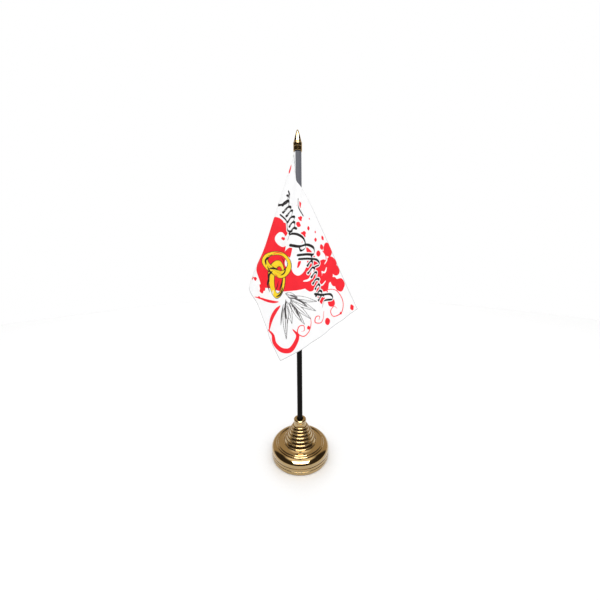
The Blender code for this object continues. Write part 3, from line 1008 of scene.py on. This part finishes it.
# The row runs this far from the pole's side, and starts and ends short of the edges
SEAM_S, SEAM_TOP, SEAM_END = 1.4, 2.0, 3.0
seam_t = np.arange(SEAM_TOP, HOIST - SEAM_END, STITCH + STITCH_GAP)
middle = panel_points(np.full(seam_t.shape, SEAM_S), seam_t + STITCH / 2)
face_way = (math.sin(HEADING), -math.cos(HEADING))
shape = bmesh.new()
for x, y, z in middle:
    for side in (-1.0, 1.0):
        out = side * (CLOTH / 2 + 0.5 * THREAD_R)
        made = bmesh.ops.create_uvsphere(shape, u_segments=8, v_segments=8, radius=1.0)["verts"]
        for v in made:
            v.co.x = (v.co.x * THREAD_R + x + out * face_way[0]) * MM
            v.co.y = (v.co.y * THREAD_R + y + out * face_way[1]) * MM
            v.co.z = (v.co.z * STITCH / 2 + z) * MM
mesh = bpy.data.meshes.new("sleeve_stitches")
shape.to_mesh(mesh)
shape.free()
mesh.shade_smooth()
stitches = bpy.data.objects.new("sleeve_stitches", mesh)
bpy.context.scene.collection.objects.link(stitches)
stitches.data.materials.append(thread)
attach(stitches, "flag")
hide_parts("sleeve_seam")
print("stitches:", 2 * len(seam_t))

# %% [markdown]
# ## The room
# A plain pale floor and a white sky, as in a small product studio. Metal shows its room and cloth doesn't, so
# the room that glossy surfaces mirror is set apart: bright overhead, warm behind the stand and low down, and
# dark in front of it. That gives the gold its light and dark bands. Three soft lamps add to it: two light the
# cloth and the floor and aren't mirrored, and the third is only seen in the gloss.

# %% Floor
FLOOR_R, FLOOR_SIDES = 1.1, 96
mesh = bpy.data.meshes.new("floor")
turns = [math.tau * i / FLOOR_SIDES for i in range(FLOOR_SIDES)]
rim = [(FLOOR_R * math.cos(a), FLOOR_R * math.sin(a), 0.0) for a in turns]
mesh.from_pydata(rim, [], [tuple(range(FLOOR_SIDES))])
floor = bpy.data.objects.new("floor", mesh)
bpy.context.scene.collection.objects.link(floor)
paper, tree, shader = new_material("paper_white")
place = add(tree, "ShaderNodeTexCoord").outputs["Object"]
grain = add(tree, "ShaderNodeTexNoise", {"Vector": place, "Scale": per_metre(2.5), "Detail": 2.0})
tones = {FACTOR: grain.outputs["Fac"], COLOUR_A: linear("#f6f6f6"), COLOUR_B: linear("#fbfbfb")}
tone = add(tree, "ShaderNodeMix", tones, data_type="RGBA")
set_inputs(
    tree,
    shader,
    {"Base Color": tone.outputs[MIXED], "Roughness": 0.95, "Specular IOR Level": 0.1},
)
floor.data.materials.append(paper)
print("floor:", floor.name)

# %% Sky and lamps
WHITE = (1.0, 1.0, 1.0, 1.0)
OVERHEAD, BEHIND, IN_FRONT = (1.7, 1.6, 1.4, 1.0), (0.61, 0.49, 0.33, 1.0), (0.05, 0.04, 0.03, 1.0)

world = bpy.data.worlds.new("studio")
bpy.context.scene.world = world
world.use_nodes = True
tree = world.node_tree
sky = tree.nodes["Background"]
way = add(tree, "ShaderNodeTexCoord").outputs["Generated"]
axes = add(tree, "ShaderNodeSeparateXYZ", {0: way}).outputs
# Each goes from 0 to 1 as a direction's axis goes from the first value to the second
soft = {}
for part, axis, start, end in (
    ("in_front", "Y", 0.42, 0.3),
    ("not_low", "Z", 0.04, 0.12),
    ("not_overhead", "Z", 0.94, 0.84),
):
    span = {"Value": axes[axis], "From Min": start, "From Max": end}
    soft[part] = add(tree, "ShaderNodeMapRange", span).outputs["Result"]
dark = soft["in_front"]
for part in ("not_low", "not_overhead"):
    dark = add(tree, "ShaderNodeMath", {0: dark, 1: soft[part]}, operation="MULTIPLY").outputs[0]
# The room is mixed in steps: overhead or behind, then the dark in front, then only for what is mirrored
mirrored = add(tree, "ShaderNodeLightPath").outputs["Is Glossy Ray"]
light = OVERHEAD
for share, over in ((soft["not_overhead"], BEHIND), (dark, IN_FRONT)):
    room = add(tree, "ShaderNodeMix", {FACTOR: share, COLOUR_A: light, COLOUR_B: over}, data_type="RGBA")
    light = room.outputs[MIXED]
shown = add(tree, "ShaderNodeMix", {FACTOR: mirrored, COLOUR_A: WHITE, COLOUR_B: light}, data_type="RGBA")
set_inputs(tree, sky, {"Color": shown.outputs[MIXED], "Strength": 1.0})


def lamp(name, place, aim, size, power):
    """A soft lamp at place, turned towards aim, in metres and watts."""
    data = bpy.data.lights.new(name, "AREA")
    data.shape = "RECTANGLE"
    data.size, data.size_y = size
    data.energy = power
    o = bpy.data.objects.new(name, data)
    bpy.context.scene.collection.objects.link(o)
    o.location = place
    way = np.array(aim) - np.array(place)
    flat = math.hypot(way[0], way[1])
    o.rotation_euler = (math.pi / 2 + math.atan2(way[2], flat), 0.0, math.atan2(-way[0], way[1]))
    return o


for name, place, power in (("lamp_front", (0.15, -0.9, 0.7), 1.5), ("lamp_back", (-0.1, 0.95, 0.7), 1.6)):
    lamp(name, place, (0.0, 0.0, 0.15), (0.6, 0.6), power).visible_glossy = False
gloss = lamp("lamp_gloss", (0.06, -1.2, 1.64), (0.0, 0.0, 0.03), (1.7, 1.2), 80.0)
gloss.visible_diffuse = False

# %% [markdown]
# ## The camera
# The stand is seen from very close, with a wide lens a little over half way up it, looking slightly down.
# That is why the base is seen from above and the finial from below at once.

# %% Camera
LENS, SENSOR = 14.526, 36.0
CAMERA_AT = (0.0012, -0.2156, 0.1848)
LOOKS_DOWN, LEANS = 8.5, 0.45

camera_data = bpy.data.cameras.new("camera")
camera_data.sensor_width = SENSOR
camera_data.lens = LENS
camera_data.clip_start = 0.005
camera = bpy.data.objects.new("camera", camera_data)
bpy.context.scene.collection.objects.link(camera)
camera.location = CAMERA_AT
camera.rotation_euler = (math.radians(90.0 - LOOKS_DOWN), math.radians(LEANS), 0.0)
bpy.context.scene.camera = camera
bpy.context.scene.view_settings.view_transform = "Standard"
print("camera", round(1000 * camera.location.length), "mm from the origin")
